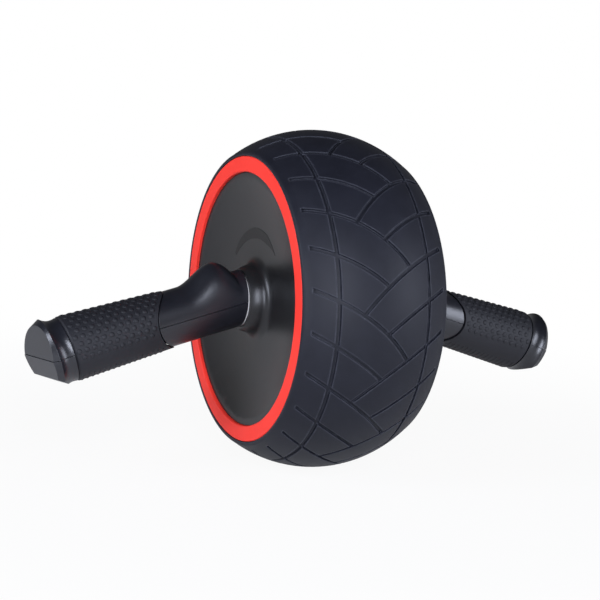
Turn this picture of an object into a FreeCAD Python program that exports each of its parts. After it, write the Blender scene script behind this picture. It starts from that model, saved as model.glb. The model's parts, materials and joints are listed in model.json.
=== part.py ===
import FreeCAD, Part
import math
import os
import Sketcher
from FreeCAD import Placement, Rotation, Vector
from types import SimpleNamespace

# Driving dimensions of the roller, lengths in millimetres and angles in degrees
SIZES = {
    # General clearances
    "fit_gap": 0.1,
    "running_gap": 0.05,
    "cut_overrun": 5,
    # Tyre
    "tyre_radius": 100,
    "wheel_half_width": 44.3,
    "crown_drop": 14,
    "shoulder_inset": 1.3,
    "shoulder_drop": 1.2,
    "shoulder_round": 2,
    "lip_height": 1.4,
    "tyre_thickness": 7,
    # Tread grooves
    "groove_width": 2.2,
    "groove_depth": 1.6,
    "side_groove_inset": 15.5,
    "groove_arc_radius": 116,
    "groove_arc_beyond": 76,
    "groove_arc_shift": 4.8,
    "groove_end_inset": 3,
    "long_groove_reach": 14.5,
    "short_groove_reach": 0,
    # Red trim rings
    "ring_width": 9.1,
    "ring_thickness": 3,
    "ring_bevel": 0.5,
    "ring_gap": 0.3,
    # Drum halves
    "rim_wall": 3.5,
    "flange_thickness": 3,
    "web_inset": 15.3,
    "web_thickness": 3,
    "hub_length": 20.8,
    "hub_wall": 4,
    "drum_boss_radius": 5,
    "drum_boss_inset": 8.3,
    # Side covers
    "cover_recess": 2,
    "cover_wall": 2.5,
    "cover_land": 2.5,
    "dish_depth": 7.3,
    "boss_rise": 1.1,
    "boss_wall": 1.2,
    "boss_hub_gap": 1.2,
    "boss_length": 6,
    "boss_flare": 2.5,
    "boss_round": 16,
    "boss_foot": 5,
    "boss_fillet": 5,
    # Drum screws
    "drum_screw_radius": 2,
    "drum_screw_head_radius": 3.8,
    "drum_screw_head": 2.6,
    "drum_screw_margin": 8,
    "screw_play": 0.3,
    # Axle, bushes and washers
    "axle_radius": 7,
    "axle_reach": 27.7,
    "axle_chamfer": 1,
    "axle_play": 1,
    "bush_wall": 4,
    "bush_length": 15,
    "washer_inset": 0.1,
    "washer_thickness": 0.6,
    "washer_play": 0.3,
    # Return spring and its arbor
    "arbor_wall": 7,
    "arbor_end_gap": 4,
    "arbor_slot_depth": 4,
    "arbor_pin_radius": 2,
    "arbor_pin_inset": 1.5,
    "spring_thickness": 0.8,
    "spring_inset": 3,
    "spring_margin": 11,
    "spring_start_gap": 0.6,
    "spring_hook": 7,
    "spring_post_radius": 4,
    # Handles
    "handle_inset": 1.1,
    "handle_height": 0.9,
    "handle_droop": 15.4,
    "neck_ledge": 1.5,
    "neck_inset": 9,
    "bump_start": 3.5,
    "bump_length": 33,
    "bump_height": 8.6,
    "tongue_place": 40,
    "tongue_margin": 1,
    "spine_step": 2.6,
    "shell_wall": 2.5,
    "hollow_margin": 6.3,
    "seam_gap": 0.3,
    "seam_ledge": 1.5,
    # Handle ends
    "cap_place": 108.1,
    "cap_tilt": 3.8,
    "cap_neck_step": 0.6,
    "cap_flare": 2.4,
    "cap_flare_round": 9,
    "cap_ridge_place": 8.9,
    "cap_bevel_run": 12,
    "cap_bevel_drop": 6,
    "cap_face_place": 16.4,
    "cap_face_skew": 11.3,
    "cap_face_lean": 10.8,
    "cap_foot_lean": 4.3,
    "cap_foot_drop": 10.5,
    "cap_foot_slope": 47,
    "cap_hollow": 5,
    # Handle fixings
    "cross_pin_margin": 10,
    "cross_pin_radius": 2.5,
    "cross_pin_inset": 5,
    "handle_screw_inset": 13,
    "handle_screw_radius": 1.5,
    "handle_screw_head_radius": 2.9,
    "handle_screw_head": 2.2,
    "handle_screw_seat": 6,
    "handle_screw_tip": 8,
    "handle_boss_radius": 4.6,
    # Grips
    "grip_step": 0.4,
    "grip_swell": 2.7,
    "grip_groove": 0.8,
}

TREAD_PERIODS = 12
TREAD_STEP = 360 / TREAD_PERIODS
DRUM_SCREWS = 6
SPRING_TURNS = 6
HANDLE_SCREWS = 2
BUMP_STEPS = 10
LOFT_DEGREE = 3
SPRING_PROBES_PER_TURN = 72

doc = FreeCAD.newDocument("ab_roller")
nodes = {}


class Size:
    """A size with its value and the formula that ties it to the sheet."""

    def __init__(self, formula, value):
        self.formula = formula
        self.value = value

    def __add__(self, other):
        return joined(self, "+", other, self.value + number(other))

    def __radd__(self, other):
        return joined(other, "+", self, number(other) + self.value)

    def __sub__(self, other):
        return joined(self, "-", other, self.value - number(other))

    def __rsub__(self, other):
        return joined(other, "-", self, number(other) - self.value)

    def __mul__(self, other):
        return joined(self, "*", other, self.value * number(other))

    def __rmul__(self, other):
        return joined(other, "*", self, number(other) * self.value)

    def __truediv__(self, other):
        return joined(self, "/", other, self.value / number(other))

    def __neg__(self):
        return Size("(-1 * %s)" % self.formula, -self.value)


def number(item):
    return item.value if isinstance(item, Size) else float(item)


def joined(first, sign, second, value):
    texts = [item.formula if isinstance(item, Size) else repr(float(item)) for item in (first, second)]
    return Size("(%s %s %s)" % (texts[0], sign, texts[1]), value)


def root(item):
    return Size("sqrt(%s)" % item.formula, math.sqrt(item.value))


def make_sheet():
    sheet = doc.addObject("Spreadsheet::Sheet", "sizes")
    for row, (alias, value) in enumerate(SIZES.items(), 1):
        sheet.set("A%d" % row, alias)
        sheet.set("B%d" % row, str(value))
        sheet.setAlias("B%d" % row, alias)
    doc.recompute()
    return SimpleNamespace(**{alias: Size("sizes.%s" % alias, float(sheet.get(alias))) for alias in SIZES})


d = make_sheet()

# Directions and half turns that the pieces share
ALONG_X = Rotation(Vector(0, 1, 0), 90)
ALONG_Y = Rotation(Vector(1, 0, 0), -90)
ALONG_Z = Rotation()
AXLE_LINE = Vector(1, 0, 0)
HALF_TURN = Placement(Vector(), Rotation(Vector(0, 0, 1), 180))
SIDES = {"right": Placement(), "left": HALF_TURN}

# Sign of the handle's own Y that looks forward, where both end caps are set back
FRONTS = {"right": -1, "left": 1}


def bind(item, **sizes):
    """Sets properties and ties each to its formula."""
    for name, size in sizes.items():
        setattr(item, name, number(size))
        if isinstance(size, Size):
            item.setExpression(name, size.formula)


def place(item, x=0, y=0, z=0, turn=ALONG_Z):
    item.Placement = Placement(Vector(number(x), number(y), number(z)), turn)
    for axis, size in (("x", x), ("y", y), ("z", z)):
        if isinstance(size, Size):
            item.setExpression("Placement.Base." + axis, size.formula)
    return item


def cylinder(name, radius, height, x=0, y=0, z=0, turn=ALONG_Z):
    item = doc.addObject("Part::Cylinder", name)
    bind(item, Radius=radius, Height=height)
    return place(item, x, y, z, turn)


def box(name, length, width, height, x=0, y=0, z=0):
    item = doc.addObject("Part::Box", name)
    bind(item, Length=length, Width=width, Height=height)
    return place(item, x, y, z)


def fused(name, *items):
    item = doc.addObject("Part::MultiFuse", name)
    item.Shapes = list(items)
    return item


def shared(name, first, second):
    item = doc.addObject("Part::Common", name)
    item.Base = first
    item.Tool = second
    item.Refine = False
    return item


def cut(name, base, *tools):
    item = doc.addObject("Part::Cut", name)
    item.Base = base
    item.Tool = tools[0] if len(tools) == 1 else fused(name + "_tools", *tools)
    return item


def keep(label, item):
    item.Label = label
    nodes[label] = item
    return item


def arc_between(start, end, radius, turn):
    """Circle and angles of the arc of under a half turn from start to end; turn is +1 anticlockwise."""
    chord = end - start
    rise = math.sqrt(radius * radius - chord.Length * chord.Length / 4)
    left = Vector(-chord.y, chord.x, 0).normalize()
    centre = (start + end) * 0.5 + left * (rise * turn)
    first, last = (start, end) if turn > 0 else (end, start)
    angles = [math.atan2(point.y - centre.y, point.x - centre.x) for point in (first, last)]
    return Part.ArcOfCircle(Part.Circle(centre, Vector(0, 0, 1), radius), angles[0], angles[1])


def of_origin(body, role):
    return [item for item in body.Origin.OriginFeatures if item.Role == role][0]


def new_sketch(body, name, role):
    sketch = body.newObject("Sketcher::SketchObject", name)
    sketch.AttachmentSupport = [(of_origin(body, role), "")]
    sketch.MapMode = "FlatFace"
    return sketch


def outline(body, name, role, corners, arcs):
    """A closed sketch through the corners. arcs gives radius and turn of the stretch after a corner."""
    sketch = new_sketch(body, name, role)
    points = [Vector(number(x), number(y), 0) for x, y in corners]
    count = len(points)
    ends = []
    geometry = []
    for index, point in enumerate(points):
        following = points[(index + 1) % count]
        if index in arcs:
            radius, turn = arcs[index]
            geometry.append(arc_between(point, following, radius.value, turn))
            ends.append((1, 2) if turn > 0 else (2, 1))
        else:
            geometry.append(Part.LineSegment(point, following))
            ends.append((1, 2))
    sketch.addGeometry(geometry, False)
    limits = []
    bound = {}
    for index in range(count):
        following = (index + 1) % count
        limits.append(Sketcher.Constraint("Coincident", index, ends[index][1], following, ends[following][0]))
    for index, corner in enumerate(corners):
        for kind, size in zip(("DistanceX", "DistanceY"), corner):
            bound[len(limits)] = size
            limits.append(Sketcher.Constraint(kind, -1, 1, index, ends[index][0], number(size)))
    for index, (radius, turn) in arcs.items():
        bound[len(limits)] = radius
        limits.append(Sketcher.Constraint("Radius", index, radius.value))
    sketch.addConstraint(limits)
    for index, size in bound.items():
        if isinstance(size, Size):
            sketch.setExpression("Constraints[%d]" % index, size.formula)
    return sketch


def revolved(name, corners, arcs=None):
    """A body turned about the X axis from an outline in x and radius."""
    body = doc.addObject("PartDesign::Body", name)
    sketch = outline(body, name + "_outline", "XZ_Plane", corners, arcs or {})
    turned = body.newObject("PartDesign::Revolution", name + "_turned")
    turned.Profile = sketch
    turned.ReferenceAxis = (sketch, ["H_Axis"])
    turned.Angle = 360
    return body


def circle_sketch(body, name, radius, y, z):
    """A circle on the wheel's middle plane."""
    sketch = new_sketch(body, name, "YZ_Plane")
    centre = Vector(number(y), number(z), 0)
    sketch.addGeometry(Part.Circle(centre, Vector(0, 0, 1), radius.value), False)
    sketch.addConstraint([
        Sketcher.Constraint("DistanceX", -1, 1, 0, 3, number(y)),
        Sketcher.Constraint("DistanceY", -1, 1, 0, 3, number(z)),
        Sketcher.Constraint("Radius", 0, radius.value),
    ])
    for index, size in enumerate((y, z, radius)):
        if isinstance(size, Size):
            sketch.setExpression("Constraints[%d]" % index, size.formula)
    return sketch


def padded(body, sketch, length):
    pad = body.newObject("PartDesign::Pad", sketch.Name + "_pad")
    pad.Profile = sketch
    bind(pad, Length=length)
    return pad


def pocketed(body, sketch, length):
    """A pocket from the wheel's middle plane outward along the body's own X."""
    pocket = body.newObject("PartDesign::Pocket", sketch.Name + "_pocket")
    pocket.Profile = sketch
    pocket.Reversed = True
    bind(pocket, Length=length)
    return pocket


def patterned(body, feature, count):
    pattern = body.newObject("PartDesign::PolarPattern", feature.Name + "_ring")
    pattern.Originals = [feature]
    pattern.Axis = (of_origin(body, "X_Axis"), [""])
    pattern.Angle = 360
    pattern.Occurrences = count
    body.Tip = pattern
    return pattern


# Crown of the tyre: an arc through the middle of the tread and its two edges
tread_half_width = d.wheel_half_width - d.shoulder_inset
tread_edge_radius = d.tyre_radius - d.crown_drop
crown_radius = (tread_half_width * tread_half_width + d.crown_drop * d.crown_drop) / (2 * d.crown_drop)
crown_centre = d.tyre_radius - crown_radius


def crown_at(place_x, arc_radius):
    """Radius, at a place along the axle, of an arc that is concentric with the crown."""
    return crown_centre + root(arc_radius * arc_radius - place_x * place_x)


# Shoulder, ring and cover, from the tread inward
shoulder_radius = tread_edge_radius - d.shoulder_drop
lip_radius = shoulder_radius - d.lip_height
ring_outer_radius = lip_radius - d.ring_gap
ring_inner_radius = ring_outer_radius - d.ring_width
bead_place = d.wheel_half_width - d.ring_thickness
rim_face = d.wheel_half_width - d.cover_recess
cover_seat = rim_face - d.cover_wall
cover_rim = ring_inner_radius - d.ring_gap
cover_land_edge = cover_rim - d.cover_land

# Drum, from its rim inward
rim_arc = crown_radius - d.tyre_thickness - d.fit_gap
drum_arc = rim_arc - d.rim_wall
web_place = d.wheel_half_width - d.web_inset
web_back = web_place - d.web_thickness
drum_boss_circle = crown_at(web_place, drum_arc) - d.drum_boss_inset
drum_screw_reach = web_back - d.drum_screw_margin

# Hub, cover boss and neck, from the axle outward
bush_radius = d.axle_radius + d.bush_wall
hub_bore = d.axle_radius + d.axle_play
hub_radius = bush_radius + d.fit_gap + d.hub_wall
boss_mouth_radius = hub_radius + d.boss_hub_gap + d.boss_wall
boss_mouth_place = d.wheel_half_width + d.boss_rise
hub_end = boss_mouth_place - d.cover_wall - d.fit_gap
hub_inner_end = hub_end - d.hub_length
neck_radius = boss_mouth_radius - d.neck_ledge

# Return spring, in the room between its arbor and the drum's screw bosses
arbor_radius = d.axle_radius + d.arbor_wall
arbor_half_length = hub_inner_end - d.arbor_end_gap
spring_half_width = arbor_half_length - d.spring_inset
spring_start = arbor_radius + d.spring_start_gap + d.spring_thickness / 2
spring_end = drum_boss_circle - d.drum_boss_radius - d.spring_margin - d.spring_hook
spring_pitch = (spring_end - spring_start) / SPRING_TURNS

# Handle, from the wheel outward
handle_start = boss_mouth_place - d.handle_inset
axle_half_length = handle_start + d.axle_reach
cross_pin_place = axle_half_length - d.cross_pin_margin
cross_pin_half_length = neck_radius - d.cross_pin_inset
hollow_start = d.axle_reach + d.hollow_margin
tongue_radius = neck_radius + d.tongue_margin
tongue_tip = d.tongue_place + tongue_radius
spine_radius = neck_radius - d.spine_step
grip_inner_end_radius = neck_radius + d.grip_step
grip_outer_end_radius = grip_inner_end_radius + d.grip_swell
cap_neck_radius = grip_outer_end_radius - d.cap_neck_step


def make_tyre_blank():
    seat_arc = crown_radius - d.tyre_thickness
    seat = crown_at(bead_place, seat_arc)
    corners = [
        (-bead_place, seat),
        (bead_place, seat),
        (bead_place, lip_radius),
        (d.wheel_half_width, lip_radius),
        (d.wheel_half_width, shoulder_radius),
        (tread_half_width, tread_edge_radius),
        (-tread_half_width, tread_edge_radius),
        (-d.wheel_half_width, shoulder_radius),
        (-d.wheel_half_width, lip_radius),
        (-bead_place, lip_radius),
    ]
    arcs = {
        0: (seat_arc, -1),
        4: (d.shoulder_round, 1),
        5: (crown_radius, 1),
        6: (d.shoulder_round, 1),
    }
    return revolved("tyre_blank", corners, arcs)


def make_tread_zone():
    """The layer of the tyre, and the air over it, that the grooves take away."""
    floor_arc = crown_radius - d.groove_depth
    air_arc = crown_radius + d.cut_overrun
    floor_edge = crown_at(tread_half_width, floor_arc)
    air_edge = crown_at(tread_half_width, air_arc)
    corners = [
        (-tread_half_width, floor_edge),
        (tread_half_width, floor_edge),
        (tread_half_width, air_edge),
        (-tread_half_width, air_edge),
    ]
    return revolved("tread_zone", corners, {0: (floor_arc, -1), 2: (air_arc, 1)})


def groove_prism(name, reach):
    """An upright prism over one curved groove, from the left shoulder to its reach past the middle."""
    body = doc.addObject("PartDesign::Body", name)
    half = d.groove_width / 2
    beyond = d.groove_arc_beyond
    drop = root(d.groove_arc_radius * d.groove_arc_radius - beyond * beyond) + d.groove_arc_shift

    def corner(place_x, arc_radius):
        across = place_x + beyond
        return place_x, root(arc_radius * arc_radius - across * across) - drop

    outer = d.groove_arc_radius + half
    inner = d.groove_arc_radius - half
    start = d.groove_end_inset - tread_half_width
    corners = [corner(start, outer), corner(reach, outer), corner(reach, inner), corner(start, inner)]
    sketch = outline(body, name + "_outline", "XY_Plane", corners, {0: (outer, -1), 2: (inner, 1)})
    padded(body, sketch, d.tyre_radius + d.cut_overrun)
    return body


def tread_slots(zone):
    """Groove cutters about the top of the tyre: two arcs from each shoulder, half a period apart."""
    prisms = [
        groove_prism("long_groove", d.long_groove_reach),
        groove_prism("short_groove", d.short_groove_reach),
    ]
    doc.recompute()
    slots = []
    for family in (0, 1):
        for index, prism in enumerate(prisms):
            slot = prism.Shape.common(zone.Shape)
            if family:
                slot = slot.mirror(Vector(), AXLE_LINE)
            for period in (-1, 0, 1):
                turned = slot.copy()
                turned.rotate(Vector(), AXLE_LINE, TREAD_STEP * (period + (family + index) % 2 / 2))
                slots.append(turned)
    reach = d.tyre_radius.value + d.cut_overrun.value
    side_groove_place = tread_half_width - d.side_groove_inset
    for side in (-1, 1):
        left = side * side_groove_place.value - d.groove_width.value / 2
        disc = Part.makeCylinder(reach, d.groove_width.value, Vector(left, 0, 0), AXLE_LINE)
        slots.append(disc.common(zone.Shape))
    return slots


def tread_wedge():
    """The space about the top of the tyre that holds one period of the tread."""
    half = math.radians(TREAD_STEP / 2)
    rise = d.tyre_radius.value + d.cut_overrun.value
    across = rise * math.tan(half)
    reach = d.wheel_half_width.value + d.cut_overrun.value
    corners = [Vector(-reach, 0, 0), Vector(-reach, -across, rise), Vector(-reach, across, rise)]
    return Part.Face(Part.makePolygon(corners + corners[:1])).extrude(Vector(2 * reach, 0, 0))


def along_axle(face):
    """True for a flat face that looks along the axle."""
    return round(abs(face.normalAt(0, 0).x)) == 1


def make_tyre():
    """Cuts one period of the tread, then sews its copies round the axle to the whole tyre."""
    blank = make_tyre_blank()
    slots = tread_slots(make_tread_zone())
    period = blank.Shape.common(tread_wedge()).cut(slots)
    skin = [face for face in period.Faces if face.Surface.TypeId != "Part::GeomPlane" or along_axle(face)]
    faces = []
    for index in range(TREAD_PERIODS):
        for face in skin:
            turned = face.copy()
            turned.rotate(Vector(), AXLE_LINE, TREAD_STEP * index)
            faces.append(turned)
    shell = Part.makeShell(faces)
    shell.sewShape()
    tyre = doc.addObject("Part::Feature", "tyre")
    tyre.Shape = Part.makeSolid(shell)
    keep("tyre", tyre)


def make_drum_half(side, placement):
    flange_back = cover_seat - d.flange_thickness
    flange_edge = cover_land_edge + d.fit_gap
    bush_bore = bush_radius + d.fit_gap
    bush_stop = hub_end - d.bush_length
    corners = [
        (0, crown_centre + rim_arc),
        (bead_place, crown_at(bead_place, rim_arc)),
        (bead_place, ring_inner_radius),
        (cover_seat, ring_inner_radius),
        (cover_seat, flange_edge),
        (flange_back, flange_edge),
        (flange_back, crown_at(flange_back, drum_arc)),
        (web_place, crown_at(web_place, drum_arc)),
        (web_place, hub_radius),
        (hub_end, hub_radius),
        (hub_end, bush_bore),
        (bush_stop, bush_bore),
        (bush_stop, hub_bore),
        (hub_inner_end, hub_bore),
        (hub_inner_end, hub_radius),
        (web_back, hub_radius),
        (web_back, crown_at(web_back, drum_arc)),
        (0, crown_centre + drum_arc),
    ]
    arcs = {0: (rim_arc, -1), 6: (drum_arc, 1), 16: (drum_arc, 1)}
    body = revolved("core_" + side, corners, arcs)
    into_web = web_back + d.web_thickness / 2
    boss = circle_sketch(body, "drum_boss_" + side, d.drum_boss_radius, 0, drum_boss_circle)
    patterned(body, padded(body, boss, into_web), DRUM_SCREWS)
    if side == "right":
        post = circle_sketch(body, "spring_post", d.spring_post_radius, *spring_post_place())
        padded(body, post, into_web)
        bore = d.drum_screw_radius + d.running_gap
        depth = drum_screw_reach + d.screw_play
    else:
        bore = d.drum_screw_radius + d.screw_play
        depth = web_place + d.cut_overrun
    hole = circle_sketch(body, "drum_hole_" + side, bore, 0, drum_boss_circle)
    patterned(body, pocketed(body, hole, depth), DRUM_SCREWS)
    body.Placement = placement
    keep("core_" + side, body)


def make_drum_screws():
    head_place = -web_place - d.drum_screw_head
    length = drum_screw_reach - head_place
    screws = []
    for index in range(DRUM_SCREWS):
        name = "drum_screw_%d" % index
        head = cylinder(name + "_head", d.drum_screw_head_radius, d.drum_screw_head,
                        x=head_place, z=drum_boss_circle, turn=ALONG_X)
        shank = cylinder(name + "_shank", d.drum_screw_radius, length,
                         x=head_place, z=drum_boss_circle, turn=ALONG_X)
        screw = fused(name, head, shank)
        screw.Placement = Placement(Vector(), Rotation(Vector(1, 0, 0), 360 * index / DRUM_SCREWS))
        screws.append(screw)
    group = doc.addObject("Part::Compound", "core_screws")
    group.Links = screws
    keep("core_screws", group)


def make_trim_ring(side, placement):
    face = d.wheel_half_width
    corners = [
        (bead_place, ring_inner_radius),
        (face - d.ring_bevel, ring_inner_radius),
        (face, ring_inner_radius + d.ring_bevel),
        (face, ring_outer_radius - d.ring_bevel),
        (face - d.ring_bevel, ring_outer_radius),
        (bead_place, ring_outer_radius),
    ]
    body = revolved("trim_ring_" + side, corners)
    body.Placement = placement
    keep("trim_ring_" + side, body)


def make_side_cover(side, placement):
    floor_place = rim_face - d.dish_depth
    shoulder_place = boss_mouth_place - d.boss_length
    boss_radius = boss_mouth_radius + d.boss_flare
    floor_radius = boss_radius + d.boss_foot
    height = cover_land_edge - floor_radius
    dish_round = (d.dish_depth * d.dish_depth + height * height) / (2 * d.dish_depth)
    back = d.cover_wall
    corners = [
        (cover_seat, cover_rim),
        (rim_face, cover_rim),
        (rim_face, cover_land_edge),
        (floor_place, floor_radius),
        (shoulder_place, boss_radius),
        (boss_mouth_place, boss_mouth_radius),
        (boss_mouth_place, hub_bore),
        (boss_mouth_place - back, hub_bore),
        (boss_mouth_place - back, boss_mouth_radius - d.boss_wall),
        (shoulder_place - back, boss_radius - d.boss_wall),
        (floor_place - back, floor_radius),
        (rim_face - back, cover_land_edge),
    ]
    arcs = {
        2: (dish_round, 1),
        3: (d.boss_fillet, 1),
        4: (d.boss_round, -1),
        8: (d.boss_round, 1),
        9: (d.boss_fillet, -1),
        10: (dish_round, -1),
    }
    body = revolved("side_cover_" + side, corners, arcs)
    body.Placement = placement
    keep("side_cover_" + side, body)


def tube(name, start, end, inner, outer):
    return revolved(name, [(start, inner), (end, inner), (end, outer), (start, outer)])


def make_bush_and_washer(side, placement):
    bore = d.axle_radius + d.running_gap
    bush = tube("bush_" + side, hub_end - d.bush_length + d.fit_gap, hub_end, bore, bush_radius)
    bush.Placement = placement
    keep("bush_" + side, bush)
    start = boss_mouth_place + d.fit_gap
    washer = tube("thrust_washer_" + side, start, start + d.washer_thickness,
                  d.axle_radius + d.washer_play, neck_radius - d.washer_inset)
    washer.Placement = placement
    keep("thrust_washer_" + side, washer)


def cross_pin(name, radius, half_length, place_x):
    return cylinder(name, radius, 2 * half_length, x=place_x, z=-half_length)


def make_axle_and_pins():
    tip = axle_half_length
    shoulder = d.axle_radius - d.axle_chamfer
    corners = [
        (-tip, 0),
        (tip, 0),
        (tip, shoulder),
        (tip - d.axle_chamfer, d.axle_radius),
        (d.axle_chamfer - tip, d.axle_radius),
        (-tip, shoulder),
    ]
    bar = revolved("axle_bar", corners)
    through = d.axle_radius + d.cut_overrun
    pin_bore = d.cross_pin_radius + d.running_gap
    holes = [
        cross_pin("axle_hole_right", pin_bore, through, cross_pin_place),
        cross_pin("axle_hole_left", pin_bore, through, -cross_pin_place),
        cross_pin("axle_hole_middle", d.arbor_pin_radius + d.running_gap, through, 0),
    ]
    keep("axle", cut("axle", bar, *holes))
    for side, sign in (("right", 1), ("left", -1)):
        name = "cross_pin_" + side
        keep(name, cross_pin(name, d.cross_pin_radius, cross_pin_half_length, sign * cross_pin_place))
    keep("arbor_pin", cross_pin("arbor_pin", d.arbor_pin_radius, arbor_radius - d.arbor_pin_inset, 0))


def spring_post_place():
    """Centre of the post on the drum that the spring's outer hook bears on."""
    rise = d.spring_thickness + d.fit_gap + d.spring_post_radius
    return spring_end + d.spring_hook / 2, rise


def make_arbor():
    sleeve = tube("arbor_sleeve", -arbor_half_length, arbor_half_length,
                  d.axle_radius + d.running_gap, arbor_radius)
    slot_floor = arbor_radius - d.arbor_slot_depth
    slot = box("arbor_slot", 2 * (arbor_half_length + d.cut_overrun), d.arbor_slot_depth + d.cut_overrun,
               d.spring_thickness + 2 * d.fit_gap,
               x=-arbor_half_length - d.cut_overrun, y=slot_floor, z=-d.spring_thickness - d.fit_gap)
    hole = cross_pin("arbor_hole", d.arbor_pin_radius + d.running_gap, arbor_radius + d.cut_overrun, 0)
    keep("spring_arbor", cut("spring_arbor", sleeve, slot, hole))


def half_circle(centre_y, radius, side):
    """Half a turn of the strip, above the axle for side +1 and below it for -1."""
    ends = [Vector(0, centre_y + radius * side, 0), Vector(0, centre_y - radius * side, 0)]
    return Part.Arc(ends[0], Vector(0, centre_y, radius * side), ends[1]).toShape()


def spring_turns():
    """Centre and radius of each half turn; half turns on two centres make the spiral."""
    pitch = spring_pitch.value
    first = spring_start.value
    return [(pitch / 2 * (turn % 2), first + pitch / 2 * turn) for turn in range(2 * SPRING_TURNS)]


def spring_least_gap():
    """Least distance between neighbouring turns of the strip, measured on points of its middle line."""
    points = []
    for turn, (centre, radius) in enumerate(spring_turns()):
        side = -1 if turn % 2 else 1
        for probe in range(SPRING_PROBES_PER_TURN // 2):
            angle = math.pi * 2 * probe / SPRING_PROBES_PER_TURN
            arm = Vector(0, math.cos(angle), math.sin(angle)) * (side * radius)
            points.append(Vector(0, centre, 0) + arm)
    apart = SPRING_PROBES_PER_TURN // 2
    pairs = [(a, b) for index, a in enumerate(points) for b in points[index + apart:]]
    return min((b - a).Length for a, b in pairs) - d.spring_thickness.value


def make_spring():
    thickness = d.spring_thickness.value
    width = 2 * spring_half_width.value
    edges = {}
    for offset in (-1, 1):
        edges[offset] = []
        for turn, (centre, radius) in enumerate(spring_turns()):
            side = -1 if turn % 2 else 1
            edges[offset].append(half_circle(centre, radius + offset * thickness / 2, side))
    start = spring_start.value
    end = spring_end.value
    ends = []
    for middle in (start, end):
        corners = [Vector(0, middle + offset * thickness / 2, 0) for offset in (-1, 1)]
        ends.append(Part.makeLine(corners[0], corners[1]))
    wire = Part.Wire(Part.__sortEdges__(edges[-1] + edges[1] + ends))
    strip = Part.Face(wire).extrude(Vector(width, 0, 0))
    slot_floor = arbor_radius.value - d.arbor_slot_depth.value + d.fit_gap.value
    inner_end = start + thickness / 2
    inner = Part.makeBox(width, inner_end - slot_floor, thickness, Vector(0, slot_floor, -thickness))
    outer_start = end - thickness / 2
    outer = Part.makeBox(width, thickness + d.spring_hook.value, thickness, Vector(0, outer_start, 0))
    spring = doc.addObject("Part::Feature", "power_spring")
    spring.Shape = strip.fuse([inner, outer]).removeSplitter()
    spring.Placement = Placement(Vector(-spring_half_width.value, 0, 0), Rotation())
    keep("power_spring", spring)
    print("least gap between spring turns: %.2f mm" % spring_least_gap())


def dropped(angle):
    """Turn about Y that lowers the X axis by an angle."""
    return Rotation(Vector(0, 1, 0), angle.value)


def handle_frame():
    """Frame of the right handle: X along its drooping axis, Z up across it."""
    start = Vector(handle_start.value, 0, d.handle_height.value)
    return Placement(start, dropped(d.handle_droop))


def cap_frame():
    return Placement(Vector(d.cap_place.value, 0, 0), dropped(d.cap_tilt))


def bump_share(along_share):
    """Height of the palm stop: it rises at once, peaks at a third of its length and runs out flat."""
    peak_share = 1 / 3
    return along_share * (1 - along_share) ** 2 / (peak_share * (1 - peak_share) ** 2)


def neck_section(along, height):
    """Half an ellipse that stands on the seam, as wide as the neck, closed by its chord."""
    radius = neck_radius.value
    stretch = FreeCAD.Matrix()
    stretch.A33 = height / radius
    arc = Part.Arc(Vector(0, radius, 0), Vector(0, 0, radius), Vector(0, -radius, 0)).toShape()
    arc = arc.transformGeometry(stretch)
    arc.translate(Vector(along, 0, d.seam_gap.value / 2))
    chord = Part.makeLine(arc.Vertexes[-1].Point, arc.Vertexes[0].Point)
    return Part.Wire([arc, chord])


def make_upper_neck(tip):
    """Upper half of the neck: a loft over the palm stop between two plain stretches."""
    sections = []
    for step in range(BUMP_STEPS + 1):
        share = step / BUMP_STEPS
        along = d.bump_start + share * d.bump_length
        height = neck_radius + bump_share(share) * d.bump_height
        sections.append(neck_section(along.value, height.value))
    loft = Part.makeLoft(sections, True, False, False, LOFT_DEGREE)
    to_wheel = -d.neck_inset - d.bump_start
    to_tip = tip - d.bump_start - d.bump_length
    root_end = Part.Face(sections[0]).extrude(Vector(to_wheel.value, 0, 0))
    grip_end = Part.Face(sections[-1]).extrude(Vector(to_tip.value, 0, 0))
    neck = doc.addObject("Part::Feature", "neck_upper")
    neck.Shape = loft.fuse([root_end, grip_end])
    return neck


def make_tongue(name, radius):
    """Upright prism with a round end that bounds the smooth neck against the grip."""
    reach = neck_radius + d.bump_height + d.cut_overrun
    block = box(name + "_block", d.neck_inset + d.cut_overrun + d.tongue_place, 2 * reach, 2 * reach,
                x=-d.neck_inset - d.cut_overrun, y=-reach, z=-reach)
    end = cylinder(name + "_end", radius, 2 * reach, x=d.tongue_place, y=-reach, turn=ALONG_Y)
    return fused(name, block, end)


def end_block(name, frame):
    """A block that takes away all that lies past the YZ plane of a frame, at the end of a handle."""
    reach = grip_outer_end_radius + d.cap_flare + 2 * d.cut_overrun
    block = box(name, 2 * reach, 2 * reach, 2 * reach)
    block.Placement = frame.multiply(Placement(Vector(0, -reach.value, -reach.value), Rotation()))
    return block


def make_cap(name, half, front):
    """Flared end of the handle with a bevel and a flat end face that is set back on the front side.

    The upper face leans in at the top, the lower one at the foot, where it ends in a slope to the underside.
    """
    ridge = cap_neck_radius + d.cap_flare
    length = d.cap_ridge_place + d.cap_bevel_run
    corners = [
        (0, 0),
        (length, 0),
        (length, ridge - d.cap_bevel_drop),
        (d.cap_ridge_place, ridge),
        (0, cap_neck_radius),
    ]
    knob = revolved(name + "_knob", corners, {3: (d.cap_flare_round, -1)})
    lean = -d.cap_face_lean if half == "upper" else d.cap_foot_lean
    aside = Rotation(Vector(0, 0, 1), front * d.cap_face_skew.value)
    face = Placement(Vector(d.cap_face_place.value, 0, 0), aside.multiply(dropped(lean)))
    ends = [end_block(name + "_face", face)]
    if half == "lower":
        foot = Placement(Vector(0, 0, -d.cap_foot_drop.value), dropped(d.cap_foot_slope))
        ends.append(end_block(name + "_foot", face.multiply(foot)))
    cap = cut(name, knob, *ends)
    cap.Placement = cap_frame()
    return cap


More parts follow.
